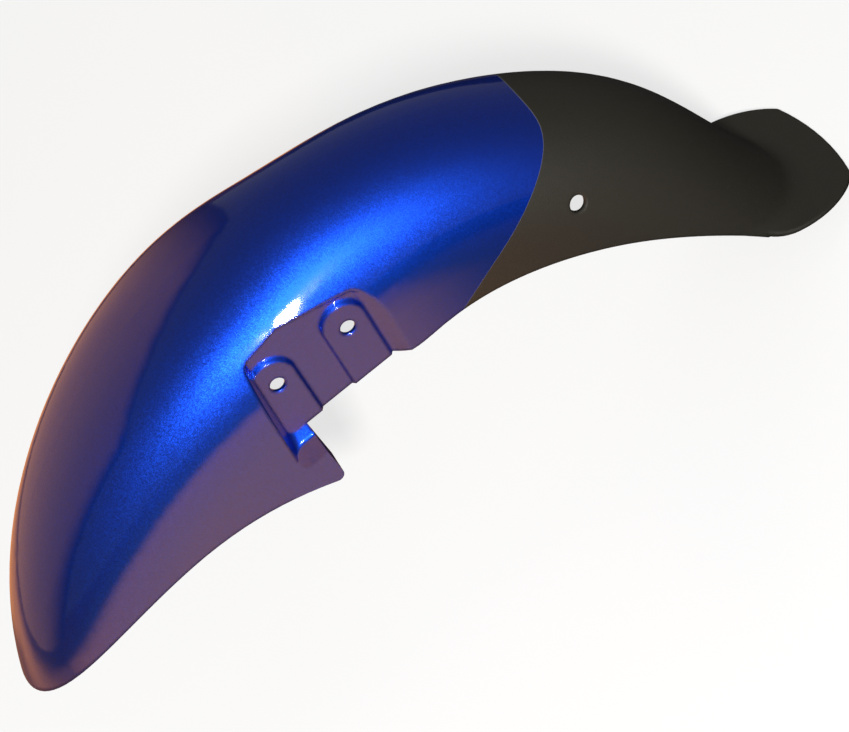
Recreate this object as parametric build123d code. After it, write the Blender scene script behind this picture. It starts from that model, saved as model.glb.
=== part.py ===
from build123d import *
import math
import os

# Front mudguard of a motorcycle: one plastic moulding, painted at the front and bare at the tail.
# Millimetres. X runs rearward along the line of the two fork bolts, Z points away from the wheel
# and Y runs across. The origin lies midway between the fork bolts, on the middle plane.

# Arch over the wheel: sections stand round the axle, at angles from straight up
wall = 3.0
crown_radius = 356.0
crown_height = 76.0
axle_setback = 5.0
nose_angle = -72.0
cowl_angle = -12.0
waist_angle = 8.0
back_angle = 32.0
haunch_angle = 50.0
tail_angle = 64.0
end_angle = 82.0
section_count = 15
section_reach = 130.0

# How far the crown stands above its radius
nose_rise = 7.0
cowl_rise = -3.0
waist_rise = -1.0
back_rise = 4.0
haunch_rise = 1.5
tail_rise = -9.0
end_rise = -12.0

# Half the width of the arch, and how far the shoulder's foot lies below the crown
nose_half_width = 78.0
cowl_half_width = 94.5
waist_half_width = 80.0
rear_half_width = 76.0
nose_shoulder_drop = 95.0
cowl_shoulder_drop = 86.0
waist_shoulder_drop = 86.0
back_shoulder_drop = 78.0
tail_shoulder_drop = 69.0
end_shoulder_drop = 62.0

# How full the shoulder's curve is: across from the crown, and up from the foot
nose_full_across = 0.60
nose_full_up = 0.60
cowl_full_across = 0.73
cowl_full_up = 0.7
waist_full_across = 0.64
waist_full_up = 0.56
rear_full_across = 0.60
rear_full_up = 0.56

# Lower edge of the front skirt, seen from the side: angles round the axle, depths under the crown
nose_tip_angle = -64.7
nose_tip_depth = -10.1
nose_cheek_angle = -49.3
nose_cheek_depth = 52.8
skirt_crest_angle = -30.5
skirt_crest_depth = 106.1
skirt_corner_x = -36.5
skirt_corner_drop = 87.0
skirt_corner_radius = 5.0

# Lower edge of the rear part, seen from the side
rear_edge_start_x = 42.0
rear_edge_start_drop = 42.5
rear_edge_step_x = 52.0
rear_edge_step_drop = 47.0
rear_edge_crest_angle = 17.1
rear_edge_crest_depth = 114.0
rear_edge_middle_angle = 33.0
rear_edge_middle_depth = 97.2
rear_edge_low_angle = 50.7
rear_edge_low_depth = 79.3
rear_edge_end_angle = 73.0
rear_edge_end_depth = 47.6

# Recess that clears the fork leg, the same on both sides; each wall drafts out from the flat plate
plate_half_width = 72.0
plate_edge_drop = 42.0
recess_front_x = -36.0
recess_front_height = 34.4
recess_rear_x = 48.0
recess_rear_height = 20.5
front_lean = 9.0
front_draft = 12.0
eave_slope = 4.5
hip_slope = 15.0
hip_draft = 28.0
rear_lean = 7.0
rear_draft = 61.0
ledge_end_x = -34.0
ledge_drop = 40.0
ledge_draft = 40.0
recess_corner_radius = 6.0
recess_floor_radius = 1.5
recess_rim_radius = 2.0

# Raised pads round the fork bolts
bolt_pitch = 60.0
bolt_hole_diameter = 11.0
pad_half_width = 17.5
pad_centre_height = 4.0
pad_height = 3.0
pad_draft = 35.0

# Holes for the rear stay
stay_hole_diameter = 12.0
stay_hole_angle = 39.7
stay_hole_depth = 50.6

# Flap at the tail, measured along from its root
flap_slope = 12.7
flap_root_angle = 75.1
flap_root_depth = 20.8
flap_neck_lead = 32.0
flap_neck_half_width = 71.0
flap_shoulder_lead = 5.0
flap_shoulder_half_width = 76.0
flap_corner_run = 45.0
flap_corner_half_width = 51.0
flap_bow = 6.0
flap_corner_radius = 8.0
flap_blend_radius = 22.0

# Room that every cutting body keeps beyond the moulding
margin = 60.0
side_room = cowl_half_width + margin
depth_room = crown_radius + margin

# Stations of the arch, nose to tail, in the order that arch_section takes them
axle_drop = crown_radius - crown_height
nose_full = (nose_full_across, nose_full_up)
cowl_full = (cowl_full_across, cowl_full_up)
waist_full = (waist_full_across, waist_full_up)
rear_full = (rear_full_across, rear_full_up)
stations = (
    (nose_angle, nose_rise, nose_half_width, nose_shoulder_drop, *nose_full),
    (cowl_angle, cowl_rise, cowl_half_width, cowl_shoulder_drop, *cowl_full),
    (waist_angle, waist_rise, waist_half_width, waist_shoulder_drop, *waist_full),
    (back_angle, back_rise, rear_half_width, back_shoulder_drop, *rear_full),
    (haunch_angle, haunch_rise, rear_half_width, back_shoulder_drop, *rear_full),
    (tail_angle, tail_rise, rear_half_width, tail_shoulder_drop, *rear_full),
    (end_angle, end_rise, rear_half_width, end_shoulder_drop, *rear_full),
)


def tangent(angle):
    return math.tan(math.radians(angle))


def round_axle(angle, depth):
    # A point of the side view, by its angle round the axle and its depth under the crown's radius
    turn = math.radians(angle)
    reach = crown_radius - depth
    return axle_setback + reach * math.sin(turn), reach * math.cos(turn) - axle_drop


def crossing(first, second):
    # Where two lines of the side view meet; each is a point and the direction it runs in
    ax, az, a = first
    bx, bz, b = second
    a, b = math.radians(a), math.radians(b)
    along = ((bx - ax) * math.sin(b) - (bz - az) * math.cos(b)) / math.sin(b - a)
    return ax + along * math.cos(a), az + along * math.sin(a)


def nearest_corners(face, points):
    return [face.vertices().sort_by_distance(point)[0] for point in points]


def across(face):
    # A side view cut through the whole width
    return extrude(Plane.XZ * face, side_room, both=True)


def arch_section(angle, rise, half_width, drop, full_across, full_up, inset):
    turn = math.radians(angle)
    plane = Plane(
        origin=(axle_setback, 0, -axle_drop),
        x_dir=(0, 1, 0),
        z_dir=(math.cos(turn), 0, -math.sin(turn)),
    )
    crown = crown_radius + rise - inset
    half = half_width - inset
    shoulder = crown - drop
    pull = crown - drop * (1 - full_up)
    foot = shoulder - section_reach
    right = Bezier((0, crown), (full_across * half, crown), (half, pull), (half, shoulder))
    left = Bezier((-half, shoulder), (-half, pull), (-full_across * half, crown), (0, crown))
    base = Polyline((half, shoulder), (half, foot), (-half, foot), (-half, shoulder))
    return plane * make_face([right, base, left])


def slope_at(index, column):
    # Slope of one column of the stations, level where the column turns back
    if index in (0, len(stations) - 1):
        return 0.0
    before, here, after = stations[index - 1], stations[index], stations[index + 1]
    rise_in = (here[column] - before[column]) / (here[0] - before[0])
    rise_out = (after[column] - here[column]) / (after[0] - here[0])
    if rise_in * rise_out <= 0:
        return 0.0
    return 2 * rise_in * rise_out / (rise_in + rise_out)


def station_at(angle):
    # A station between the listed ones, eased with cubic curves
    index = max(i for i in range(len(stations) - 1) if stations[i][0] <= angle)
    first, last = stations[index], stations[index + 1]
    span = last[0] - first[0]
    t = (angle - first[0]) / span
    values = [angle]
    for column in range(1, len(first)):
        values.append(
            (1 + 2 * t) * (1 - t) ** 2 * first[column]
            + t * (1 - t) ** 2 * span * slope_at(index, column)
            + t * t * (3 - 2 * t) * last[column]
            - t * t * (1 - t) * span * slope_at(index + 1, column)
        )
    return values


def arch_body(inset):
    step = (end_angle - nose_angle) / (section_count - 1)
    angles = [nose_angle + step * i for i in range(section_count)]
    return loft([arch_section(*station_at(angle), inset) for angle in angles])


# Points that several of the cutting bodies share
nose_tip = round_axle(nose_tip_angle, nose_tip_depth)
skirt_corner = (skirt_corner_x, -skirt_corner_drop)
flap_root = round_axle(flap_root_angle, flap_root_depth)
flap_neck_x = flap_root[0] - flap_neck_lead
flap_shoulder_x = flap_root[0] - flap_shoulder_lead
flap_corner_x = flap_root[0] + flap_corner_run
flap_end_x = flap_corner_x + flap_bow + margin


def flap_top(x):
    return flap_root[1] - tangent(flap_slope) * (x - flap_root[0])


def flared_body(inset):
    # The arch runs into a block under the flap, and the corner between them is swept round
    drop = inset / math.cos(math.radians(flap_slope))
    front = flap_neck_x - flap_blend_radius
    side = Polyline(
        (front, flap_top(front) - drop),
        (flap_end_x, flap_top(flap_end_x) - drop),
        (flap_end_x, -depth_room),
        (front, -depth_room),
        close=True,
    )
    arch = arch_body(inset)
    block = across(make_face(side))
    body = arch + block
    meeting = new_edges(arch, block, combined=body)
    junction = meeting.filter_by(lambda edge: edge.bounding_box().size.X > wall)
    return fillet(junction, flap_blend_radius + inset)


def recess_outline(spread):
    # Seen from the side, at a distance out from the plate
    front = (recess_front_x - spread * tangent(front_draft), recess_front_height, 90 - front_lean)
    eave = (recess_front_x, recess_front_height, eave_slope)
    hip_lift = spread * tangent(hip_draft) / math.cos(math.radians(hip_slope))
    hip = (recess_rear_x, recess_rear_height + hip_lift, -hip_slope)
    rear = (recess_rear_x + spread * tangent(rear_draft), recess_rear_height, 90 - rear_lean)
    ledge = (ledge_end_x, -ledge_drop - spread * tangent(ledge_draft), 0)
    foot = (ledge_end_x, -depth_room, 0)
    rounded = [crossing(ledge, front), crossing(front, eave), crossing(eave, hip), crossing(hip, rear)]
    crisp = [crossing(rear, foot), foot[:2], ledge[:2]]
    radii = [recess_corner_radius] * len(rounded) + [0] * len(crisp)
    return FilletPolyline(*rounded, *crisp, radius=radii, close=True)


def recess_tool(inset):
    reach = cowl_half_width - plate_half_width + 2 * wall
    layers = []
    for spread in (0, reach):
        face = make_face(recess_outline(spread))
        if inset:
            face = offset(face, inset, kind=Kind.INTERSECTION)
        layers.append(Plane.XZ.offset(plate_half_width - inset + spread) * face)
    tool = loft(layers, ruled=True)
    if not inset:
        floor_edges = tool.faces().sort_by(Axis.Y)[-1].edges()
        tool = fillet(floor_edges, recess_floor_radius)
    return tool + mirror(tool, Plane.XZ)


def pad_outline(bolt_x, inset):
    half = pad_half_width - inset
    foot = pad_centre_height + plate_edge_drop + margin
    lean = foot * tangent(rear_lean)
    leg = Polyline((-half, 0), (half, 0), (half - lean, -foot), (-half - lean, -foot), close=True)
    return Pos(bolt_x, pad_centre_height) * (make_face(leg) + Circle(half))


def pads(inset):
    result = Part()
    for bolt_x in (-bolt_pitch / 2, bolt_pitch / 2):
        base = Plane.XZ.offset(plate_half_width - inset) * pad_outline(bolt_x, inset / 2)
        pad = extrude(base, pad_height, taper=pad_draft)
        result += [pad, mirror(pad, Plane.XZ)]
    return result


def outer_body():
    # The rim of the recess is rounded on the outside only, which keeps the wall even
    body = flared_body(0)
    tool = recess_tool(0)
    recessed = body - tool
    rim = new_edges(body, tool, combined=recessed)
    return fillet(rim, recess_rim_radius) + pads(0)


def inner_body():
    return flared_body(wall) - recess_tool(wall) + pads(wall)


def below_edge():
    # Everything under the lower edge, from the nose to the flap
    start = (rear_edge_start_x, -rear_edge_start_drop)
    end = round_axle(rear_edge_end_angle, rear_edge_end_depth)
    front = Spline(
        nose_tip,
        round_axle(nose_cheek_angle, nose_cheek_depth),
        round_axle(skirt_crest_angle, skirt_crest_depth),
        skirt_corner,
    )
    step = Polyline(skirt_corner, (ledge_end_x, -plate_edge_drop), start)
    rear = Spline(
        start,
        (rear_edge_step_x, -rear_edge_step_drop),
        round_axle(rear_edge_crest_angle, rear_edge_crest_depth),
        round_axle(rear_edge_middle_angle, rear_edge_middle_depth),
        round_axle(rear_edge_low_angle, rear_edge_low_depth),
        end,
    )
    ahead = nose_tip[0] - margin
    under = Polyline(
        end,
        (flap_shoulder_x, flap_top(flap_shoulder_x) - margin / 2),
        (flap_end_x, flap_top(flap_end_x) - margin),
        (flap_end_x, -depth_room),
        (ahead, -depth_room),
        (ahead, nose_tip[1]),
        nose_tip,
    )
    face = make_face([front, step, rear, under])
    return across(fillet(nearest_corners(face, [skirt_corner]), skirt_corner_radius))


def plan_outline():
    # Seen from above, the flap swells past the neck and narrows to a bowed end
    start = nose_tip[0] - margin
    corners = []
    curves = []
    for side in (-1, 1):
        neck = (flap_neck_x, side * flap_neck_half_width)
        shoulder = (flap_shoulder_x, side * flap_shoulder_half_width)
        corner = (flap_corner_x, side * flap_corner_half_width)
        curves.append(Polyline(
            (start, side * side_room),
            (flap_neck_x - margin, side * side_room),
            (flap_neck_x - margin, side * (rear_half_width + wall)),
            neck,
        ))
        curves.append(ThreePointArc(neck, shoulder, corner))
        corners.append(corner)
    curves.append(ThreePointArc(corners[0], (flap_corner_x + flap_bow, 0), corners[1]))
    curves.append(Line((start, -side_room), (start, side_room)))
    face = make_face(curves)
    return fillet(nearest_corners(face, corners), flap_corner_radius)


def cross_hole(x, height, diameter):
    return Pos(x, 0, height) * Rot(90, 0, 0) * Cylinder(diameter / 2, 2 * side_room)


def mudguard():
    shell = outer_body() - inner_body() - below_edge()
    shell &= extrude(plan_outline(), depth_room, both=True)
    for bolt_x in (-bolt_pitch / 2, bolt_pitch / 2):
        shell -= cross_hole(bolt_x, 0, bolt_hole_diameter)
    return shell - cross_hole(*round_axle(stay_hole_angle, stay_hole_depth), stay_hole_diameter)


os.makedirs("parts", exist_ok=True)
export_step(mudguard(), "parts/mudguard.step")
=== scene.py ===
import bpy
import math
from mathutils import Matrix, Vector


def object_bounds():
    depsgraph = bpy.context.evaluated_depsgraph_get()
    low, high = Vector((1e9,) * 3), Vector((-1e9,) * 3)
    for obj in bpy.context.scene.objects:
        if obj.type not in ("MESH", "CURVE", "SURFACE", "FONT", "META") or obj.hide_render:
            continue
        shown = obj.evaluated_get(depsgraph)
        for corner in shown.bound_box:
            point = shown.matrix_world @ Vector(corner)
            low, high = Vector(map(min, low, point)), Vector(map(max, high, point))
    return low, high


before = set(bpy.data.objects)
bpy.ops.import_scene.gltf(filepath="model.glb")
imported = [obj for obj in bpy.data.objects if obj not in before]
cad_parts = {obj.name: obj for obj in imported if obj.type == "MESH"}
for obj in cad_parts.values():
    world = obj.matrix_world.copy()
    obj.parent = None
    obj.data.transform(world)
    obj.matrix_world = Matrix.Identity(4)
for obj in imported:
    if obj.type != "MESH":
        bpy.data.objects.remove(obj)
cadBox = [list(corner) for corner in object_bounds()]
scene = bpy.context.scene
print("frame loaded:", sorted(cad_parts))


# Small helpers for node trees: a value is a number, a colour, a vector or another node's output

# Where the Mix node keeps the sockets of each kind of data: factor, first, second and result
mixPlaces = {
    "FLOAT": (0, 2, 3, 0),
    "VECTOR": (0, 4, 5, 1),
    "RGBA": (0, 6, 7, 2),
}


def addNode(tree, kind, **values):
    node = tree.nodes.new(kind)
    for name, value in values.items():
        setattr(node, name, value)
    return node


def feed(tree, socket, value):
    if isinstance(value, bpy.types.NodeSocket):
        tree.links.new(value, socket)
    elif socket.type == "RGBA":
        socket.default_value = (*value, 1.0)
    else:
        socket.default_value = value


def feedNamed(tree, node, values):
    for name, value in values.items():
        feed(tree, node.inputs[name], value)


def feedInOrder(tree, node, values):
    for socket, value in zip(node.inputs, values):
        feed(tree, socket, value)


def mathNode(tree, operation, *values, clamp=False):
    node = addNode(tree, "ShaderNodeMath", operation=operation, use_clamp=clamp)
    feedInOrder(tree, node, values)
    return node.outputs[0]


def product(tree, first, *others):
    for other in others:
        first = mathNode(tree, "MULTIPLY", first, other)
    return first


def vectorNode(tree, operation, *values):
    node = addNode(tree, "ShaderNodeVectorMath", operation=operation)
    feedInOrder(tree, node, values)
    return node.outputs[0]


def splitVector(tree, vector):
    node = addNode(tree, "ShaderNodeSeparateXYZ")
    feedInOrder(tree, node, [vector])
    return tuple(node.outputs)


def joinVector(tree, **parts):
    node = addNode(tree, "ShaderNodeCombineXYZ")
    feedNamed(tree, node, parts)
    return node.outputs[0]


def rampNode(tree, value, run, start, end):
    node = addNode(tree, "ShaderNodeMapRange", interpolation_type="SMOOTHSTEP")
    feedNamed(tree, node, {"Value": value, "From Min": run[0], "From Max": run[1]})
    feedNamed(tree, node, {"To Min": start, "To Max": end})
    return node.outputs["Result"]


def mixNode(tree, kind, factor, first, second, blend="MIX"):
    node = addNode(tree, "ShaderNodeMix", data_type=kind, blend_type=blend)
    *places, resultPlace = mixPlaces[kind]
    for place, value in zip(places, (factor, first, second)):
        feed(tree, node.inputs[place], value)
    return node.outputs[resultPlace]


def newGroup(name, inputs, outputs):
    tree = bpy.data.node_groups.new(name, "ShaderNodeTree")
    for side, sockets in (("INPUT", inputs), ("OUTPUT", outputs)):
        for label, kind in sockets.items():
            tree.interface.new_socket(label, in_out=side, socket_type="NodeSocket" + kind)
    given = addNode(tree, "NodeGroupInput").outputs
    result = addNode(tree, "NodeGroupOutput")
    return tree, given, result


def newMaterial(name):
    material = bpy.data.materials.new(name)
    material.use_nodes = True
    return material, material.node_tree


# Paint line: 0 on the painted front, 1 on the bare tail, with a fine band along the edge itself

paintLine = {
    "crownX": 0.215,    # where the line crosses the crown
    "sideX": 0.220,     # where the slanting side line would meet the bolt line
    "slant": 2.49,      # run back for each unit of height on the sides
    "corner": 0.030,    # how softly the two join
    "softness": 0.0004,
    "bandWidth": 0.0009,
}


def makePaintLine(s):
    inputs = {"Position": "Vector"}
    outputs = {"Tail": "Float", "Band": "Float"}
    tree, given, result = newGroup("paintLine", inputs, outputs)
    x, _, z = splitVector(tree, given["Position"])
    slanted = mathNode(tree, "MULTIPLY_ADD", z, s["slant"], s["sideX"])
    edge = mathNode(tree, "SMOOTH_MIN", slanted, s["crownX"], s["corner"])
    past = mathNode(tree, "SUBTRACT", x, edge)
    tail = mathNode(tree, "MULTIPLY_ADD", past, 1 / s["softness"], 0.5, clamp=True)
    away = mathNode(tree, "DIVIDE", mathNode(tree, "ABSOLUTE", past), s["bandWidth"])
    band = mathNode(tree, "SUBTRACT", 1.0, away, clamp=True)
    feedNamed(tree, result, {"Tail": tail, "Band": band})
    return tree


# Metallic flake: each small cell gets its own tilt and brightness

flake = {
    "perMetre": 1500.0,
    "tilt": 0.11,
    "glint": 0.35,
    "middle": (0.5, 0.5, 0.5),  # of the cells' random colours
}


def makeFlakes(s):
    inputs = {"Position": "Vector", "Facing": "Vector", "Amount": "Float"}
    outputs = {"Normal": "Vector", "Glint": "Float"}
    tree, given, result = newGroup("flakes", inputs, outputs)
    cells = addNode(tree, "ShaderNodeTexVoronoi")
    feedNamed(tree, cells, {"Vector": given["Position"], "Scale": s["perMetre"]})
    random = cells.outputs["Color"]
    centred = vectorNode(tree, "SUBTRACT", random, s["middle"])
    tilt = vectorNode(tree, "MULTIPLY", centred, product(tree, given["Amount"], s["tilt"]))
    tilted = vectorNode(tree, "NORMALIZE", vectorNode(tree, "ADD", given["Facing"], tilt))
    shade, _, _ = splitVector(tree, random)
    glint = mathNode(tree, "MULTIPLY_ADD", shade, s["glint"], 1 - s["glint"] / 2)
    feedNamed(tree, result, {"Normal": tilted, "Glint": glint})
    return tree


# Fairing: evens out how light runs along the shoulder, where the cowl narrows into the rear,
# and carries the skirt's face up over the lower half of the small ledge under the recess

fairing = {
    "atX": 0.006,               # where the narrowing is steepest
    "reach": 0.045,
    "tilt": 0.20,
    "coatLift": 0.13,           # further tilt up for the clear coat alone
    "rise": (0.10, 0.30),       # faces that look up less keep their own normal
    "ledgeFront": (-0.075, -0.070),
    "ledgeBack": (-0.034, -0.030),
    "ledgeBelow": (-0.050, -0.046),
    "outerFace": (-0.1, 0.1),   # inner faces keep their own normal
}


def addFairing(tree, s, position, facing):
    x, y, z = splitVector(tree, position)
    _, faceY, faceZ = splitVector(tree, facing)

    # over the ledge
    side = mathNode(tree, "SIGN", y)
    front = rampNode(tree, x, s["ledgeFront"], 0.0, 1.0)
    back = rampNode(tree, x, s["ledgeBack"], 1.0, 0.0)
    below = rampNode(tree, z, s["ledgeBelow"], 1.0, 0.0)
    outer = rampNode(tree, product(tree, side, faceY), s["outerFace"], 0.0, 1.0)
    ledge = product(tree, front, back, below, outer)
    skirted = mixNode(tree, "VECTOR", ledge, facing, joinVector(tree, Y=side))

    # along the shoulder, as a bell round the narrowing
    along = mathNode(tree, "DIVIDE", mathNode(tree, "SUBTRACT", x, s["atX"]), s["reach"])
    bell = mathNode(tree, "EXPONENT", product(tree, mathNode(tree, "POWER", along, 2.0), -1.0))
    rise = rampNode(tree, faceZ, s["rise"], 0.0, 1.0)
    amount = product(tree, rise, mathNode(tree, "ABSOLUTE", faceY), bell)
    forward = product(tree, amount, -s["tilt"])
    upward = product(tree, amount, s["coatLift"])
    forPaint = vectorNode(tree, "ADD", skirted, joinVector(tree, X=forward))
    forCoat = vectorNode(tree, "ADD", skirted, joinVector(tree, X=forward, Z=upward))
    return vectorNode(tree, "NORMALIZE", forPaint), vectorNode(tree, "NORMALIZE", forCoat)


# The moulding's finish: metallic blue under clear coat in front, bare black plastic behind

paint = {
    "colour": (0.005, 0.052, 0.56),
    "metallic": 1.0,
    "roughness": 0.46,
    "coatRoughness": 0.08,
    "coatIor": 1.5,
    "edgeRadius": 0.0035,
    "edgeSamples": 4,
}
plastic = {
    "colour": (0.014, 0.0125, 0.008),
    "metallic": 0.0,
    "roughness": 0.55,
    "grainPerMetre": 900.0,
    "grainDetail": 3.0,
    "grainDepth": 0.00012,
    "edgeColour": (0.10, 0.10, 0.11),
}


def makeFinish(line, flakes):
    material, tree = newMaterial("blueOverBlack")
    position = addNode(tree, "ShaderNodeTexCoord").outputs["Object"]
    masks = addNode(tree, "ShaderNodeGroup", node_tree=line)
    feedNamed(tree, masks, {"Position": position})
    tail = masks.outputs["Tail"]
    painted = mathNode(tree, "SUBTRACT", 1.0, tail)

    edges = addNode(tree, "ShaderNodeBevel", samples=paint["edgeSamples"])
    feedNamed(tree, edges, {"Radius": paint["edgeRadius"]})
    paintNormal, coatNormal = addFairing(tree, fairing, position, edges.outputs[0])
    cells = addNode(tree, "ShaderNodeGroup", node_tree=flakes)
    feedNamed(tree, cells, {"Position": position, "Facing": paintNormal, "Amount": painted})
    flaked = mixNode(tree, "RGBA", 1.0, paint["colour"], cells.outputs["Glint"], "MULTIPLY")
    edged = mixNode(tree, "RGBA", masks.outputs["Band"], plastic["colour"], plastic["edgeColour"])

    grain = addNode(tree, "ShaderNodeTexNoise")
    feedNamed(tree, grain, {
        "Vector": position,
        "Scale": plastic["grainPerMetre"],
        "Detail": plastic["grainDetail"],
    })
    bump = addNode(tree, "ShaderNodeBump")
    feedNamed(tree, bump, {
        "Strength": tail,
        "Distance": plastic["grainDepth"],
        "Height": grain.outputs[0],
        "Normal": cells.outputs["Normal"],
    })

    feedNamed(tree, tree.nodes["Principled BSDF"], {
        "Base Color": mixNode(tree, "RGBA", tail, flaked, edged),
        "Metallic": mixNode(tree, "FLOAT", tail, paint["metallic"], plastic["metallic"]),
        "Roughness": mixNode(tree, "FLOAT", tail, paint["roughness"], plastic["roughness"]),
        "Normal": bump.outputs["Normal"],
        "Coat Weight": painted,
        "Coat Roughness": paint["coatRoughness"],
        "Coat IOR": paint["coatIor"],
        "Coat Normal": coatNormal,
    })
    return material


finish = makeFinish(makePaintLine(paintLine), makeFlakes(flake))
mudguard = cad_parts["mudguard"]
mudguard.data.materials.clear()
mudguard.data.materials.append(finish)
print("finish on", mudguard.name)


# Floor: pale and matt, with a share of plain white for the rays that show it

floorSettings = {
    "gap": 0.001,
    "half": 6.0,
    "colour": (0.80, 0.80, 0.79),
    "roughness": 0.9,
    "glow": 0.7,
}
floorHeight = cadBox[0][2] - floorSettings["gap"]


def addSheet(name, halfX, halfY, height, material):
    outline = [(-halfX, -halfY), (halfX, -halfY), (halfX, halfY), (-halfX, halfY)]
    mesh = bpy.data.meshes.new(name)
    mesh.from_pydata([(x, y, height) for x, y in outline], [], [(0, 1, 2, 3)])
    mesh.materials.append(material)
    sheet = bpy.data.objects.new(name, mesh)
    scene.collection.objects.link(sheet)
    return sheet


def makeFloor(s):
    material, tree = newMaterial("paleFloor")
    shader = tree.nodes["Principled BSDF"]
    feedNamed(tree, shader, {"Base Color": s["colour"], "Roughness": s["roughness"]})
    white = addNode(tree, "ShaderNodeEmission")
    ray = addNode(tree, "ShaderNodeLightPath").outputs
    seen = mathNode(tree, "MAXIMUM", ray["Is Camera Ray"], ray["Is Glossy Ray"])
    seen = mathNode(tree, "MAXIMUM", seen, ray["Is Transmission Ray"])
    mix = addNode(tree, "ShaderNodeMixShader")
    feedInOrder(tree, mix, (product(tree, seen, s["glow"]), shader.outputs[0], white.outputs[0]))
    feedNamed(tree, tree.nodes["Material Output"], {"Surface": mix.outputs[0]})
    floor = addSheet("floor", s["half"], s["half"], floorHeight, material)


makeFloor(floorSettings)
print("floor laid")


# Two warm glowing cards, one on the floor and one upright, are painted reflections that the paint
# mirrors, not lamps; the camera looks past them

floorReflectionCard = {
    "lift": 0.0004,
    "half": 6.0,
    "warm": (2.35, 0.86, 0.22),
    "dim": (0.12, 0.10, 0.12),
    "dimRun": (0.04, 0.15),      # along X, painted warm reflection to dim
    "paintedShadowRun": (-0.21, -0.12),  # along Y, into a painted shadow of the object on the card
    # glow left inside the painted shadow
    "shade": 0.12,
    "behindRun": (0.12, 0.26),   # along Y, out of the painted shadow again on the far side
    "behind": 0.4,
    "leftRun": (-0.60, -0.40),   # along X, warm again beyond the nose
    "left": 0.5,
    "farRun": (0.65, 1.0),       # from the middle outward
    "far": 0.04,
}
# Upright card: a painted warm reflection along the nose's left side, fading toward its edges
sideReflectionCard = {
    "at": (-0.79, 0.62, 0.30),
    "aim": (0.0, 0.0, 0.30),
    "size": (2.2, 1.8),
    "fade": (0.5, 0.7),          # share of the half width and half height that keeps full strength
    "colour": (0.76, 0.34, 0.15),
}


def makeGlow(name):
    material, tree = newMaterial(name)
    tree.nodes.remove(tree.nodes["Principled BSDF"])
    glow = addNode(tree, "ShaderNodeEmission")
    feedNamed(tree, tree.nodes["Material Output"], {"Surface": glow.outputs[0]})
    position = addNode(tree, "ShaderNodeTexCoord").outputs["Object"]
    return material, tree, glow, position


def addReflectionCard(name, halfX, halfY, height, material):
    card = addSheet(name, halfX, halfY, height, material)
    for ray in ("camera", "diffuse", "shadow", "transmission", "volume_scatter"):
        setattr(card, "visible_" + ray, False)
    return card


def placeFacing(item, at, aim):
    item.location = at
    item.rotation_euler = (Vector(aim) - Vector(at)).to_track_quat("-Z", "Y").to_euler()


def makeFloorReflectionCard(s):
    # The floor card is a painted reflection: a glowing sheet seen only in glossy rays
    material, tree, glow, position = makeGlow("floorReflectionCard")
    x, y, _ = splitVector(tree, position)
    reach = addNode(tree, "ShaderNodeVectorMath", operation="LENGTH")
    feedInOrder(tree, reach, [position])
    dimmed = rampNode(tree, x, s["dimRun"], 0.0, 1.0)
    # painted shadow: the card's glow drops under and around the object
    paintedShadowFactor = rampNode(tree, y, s["paintedShadowRun"], 1.0, s["shade"])
    behind = rampNode(tree, y, s["behindRun"], 0.0, s["behind"])
    left = rampNode(tree, x, s["leftRun"], s["left"], 0.0)
    far = rampNode(tree, reach.outputs["Value"], s["farRun"], 1.0, s["far"])
    lit = mathNode(tree, "MAXIMUM", mathNode(tree, "MAXIMUM", paintedShadowFactor, left), behind)
    colour = mixNode(tree, "RGBA", dimmed, s["warm"], s["dim"])
    feedNamed(tree, glow, {"Color": colour, "Strength": product(tree, lit, far)})
    addReflectionCard("floorReflectionCard", s["half"], s["half"], floorHeight + s["lift"], material)


def makeSideReflectionCard(s):
    material, tree, glow, position = makeGlow("sideReflectionCard")
    x, y, _ = splitVector(tree, position)
    halfX, halfY = (extent / 2 for extent in s["size"])
    fadeX, fadeY = s["fade"]
    across = rampNode(tree, mathNode(tree, "ABSOLUTE", x), (fadeX * halfX, halfX), 1.0, 0.0)
    upward = rampNode(tree, mathNode(tree, "ABSOLUTE", y), (fadeY * halfY, halfY), 1.0, 0.0)
    feedNamed(tree, glow, {"Color": s["colour"], "Strength": product(tree, across, upward)})
    card = addReflectionCard("sideReflectionCard", halfX, halfY, 0.0, material)
    placeFacing(card, s["at"], s["aim"])


makeFloorReflectionCard(floorReflectionCard)
makeSideReflectionCard(sideReflectionCard)
print("cards set")


# Lamps and world: the fill is there for matt surfaces and isn't mirrored

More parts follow.
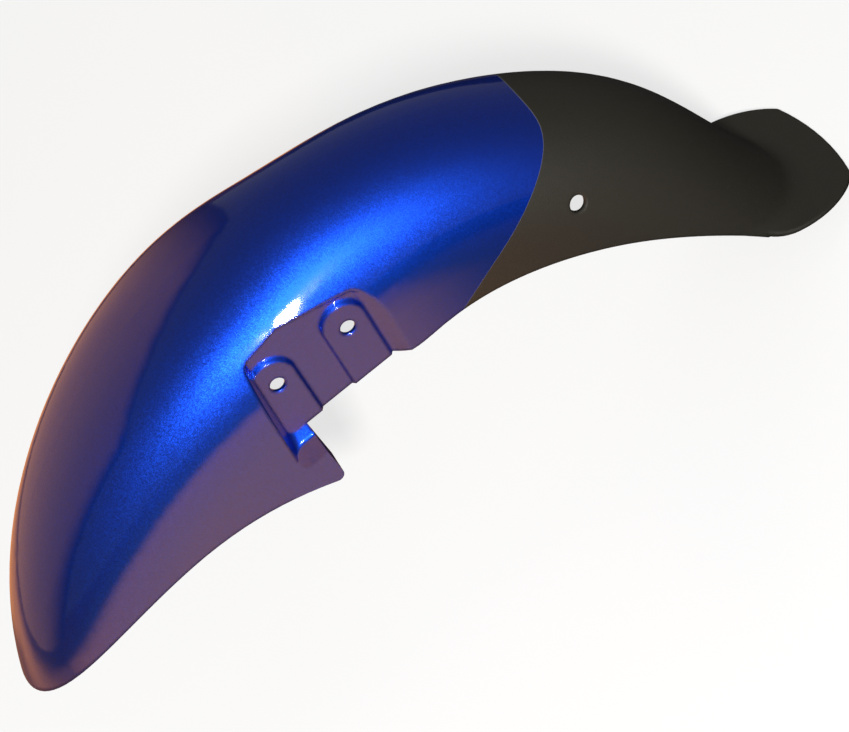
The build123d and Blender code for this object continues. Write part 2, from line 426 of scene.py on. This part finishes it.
lights = {
    "key": {
        "at": (-0.13, -2.04, 1.43),
        "aim": (0, 0, 0),
        "size": (0.28, 0.28),
        "power": 90.0,
        "colour": (1.0, 0.98, 0.95),
        "mirrored": True,
    },
    "fill": {
        "at": (0.6, 2.0, 1.0),
        "aim": (0, 0, 0),
        "size": (1.5, 1.5),
        "power": 20.0,
        "colour": (1.0, 0.99, 0.97),
        "mirrored": False,
    },
}
world = {
    "colour": (0.15, 0.15, 0.155),
    "strength": 1.0,
}


def addPanel(name, at, aim, size, power, colour, mirrored):
    data = bpy.data.lights.new(name, "AREA")
    data.shape = "RECTANGLE"
    data.size, data.size_y = size
    data.energy = power
    data.color = colour
    panel = bpy.data.objects.new(name, data)
    placeFacing(panel, at, aim)
    panel.visible_glossy = mirrored
    scene.collection.objects.link(panel)


def makeWorld(s):
    room = bpy.data.worlds.new("room")
    room.use_nodes = True
    tree = room.node_tree
    feedNamed(tree, tree.nodes["Background"], {"Color": s["colour"], "Strength": s["strength"]})
    scene.world = room


for name, light in lights.items():
    addPanel(name, **light)
makeWorld(world)
print("lamps and world set")


# Camera: angles in degrees, with the part's origin at a given pixel of the frame

cameraSettings = {
    "frame": (849, 732),
    "focalPixels": 2200.0,
    "azimuth": 3.25,
    "elevation": 41.49,
    "roll": 41.27,
    "distance": 1.5078,
    "originPixel": (274.0, 298.0),
}


def makeCamera(s):
    turn, lift, roll = (math.radians(s[name]) for name in ("azimuth", "elevation", "roll"))
    back = Vector((math.sin(turn) * math.cos(lift), -math.cos(turn) * math.cos(lift), math.sin(lift)))
    level = Vector((math.cos(turn), math.sin(turn), 0))
    upright = back.cross(level)
    right = math.cos(roll) * level - math.sin(roll) * upright
    up = math.sin(roll) * level + math.cos(roll) * upright
    scale = s["distance"] / s["focalPixels"]
    aside = (s["originPixel"][0] - s["frame"][0] / 2) * scale
    below = (s["originPixel"][1] - s["frame"][1] / 2) * scale
    at = back * s["distance"] - right * aside + up * below
    data = bpy.data.cameras.new("camera")
    data.sensor_fit = "HORIZONTAL"
    data.lens = data.sensor_width * s["focalPixels"] / s["frame"][0]
    camera = bpy.data.objects.new("camera", data)
    axes = Matrix((right, up, back)).transposed().to_4x4()
    camera.matrix_world = Matrix.Translation(at) @ axes
    scene.collection.objects.link(camera)
    scene.camera = camera


makeCamera(cameraSettings)
scene.view_settings.view_transform = "Standard"
print("camera set")
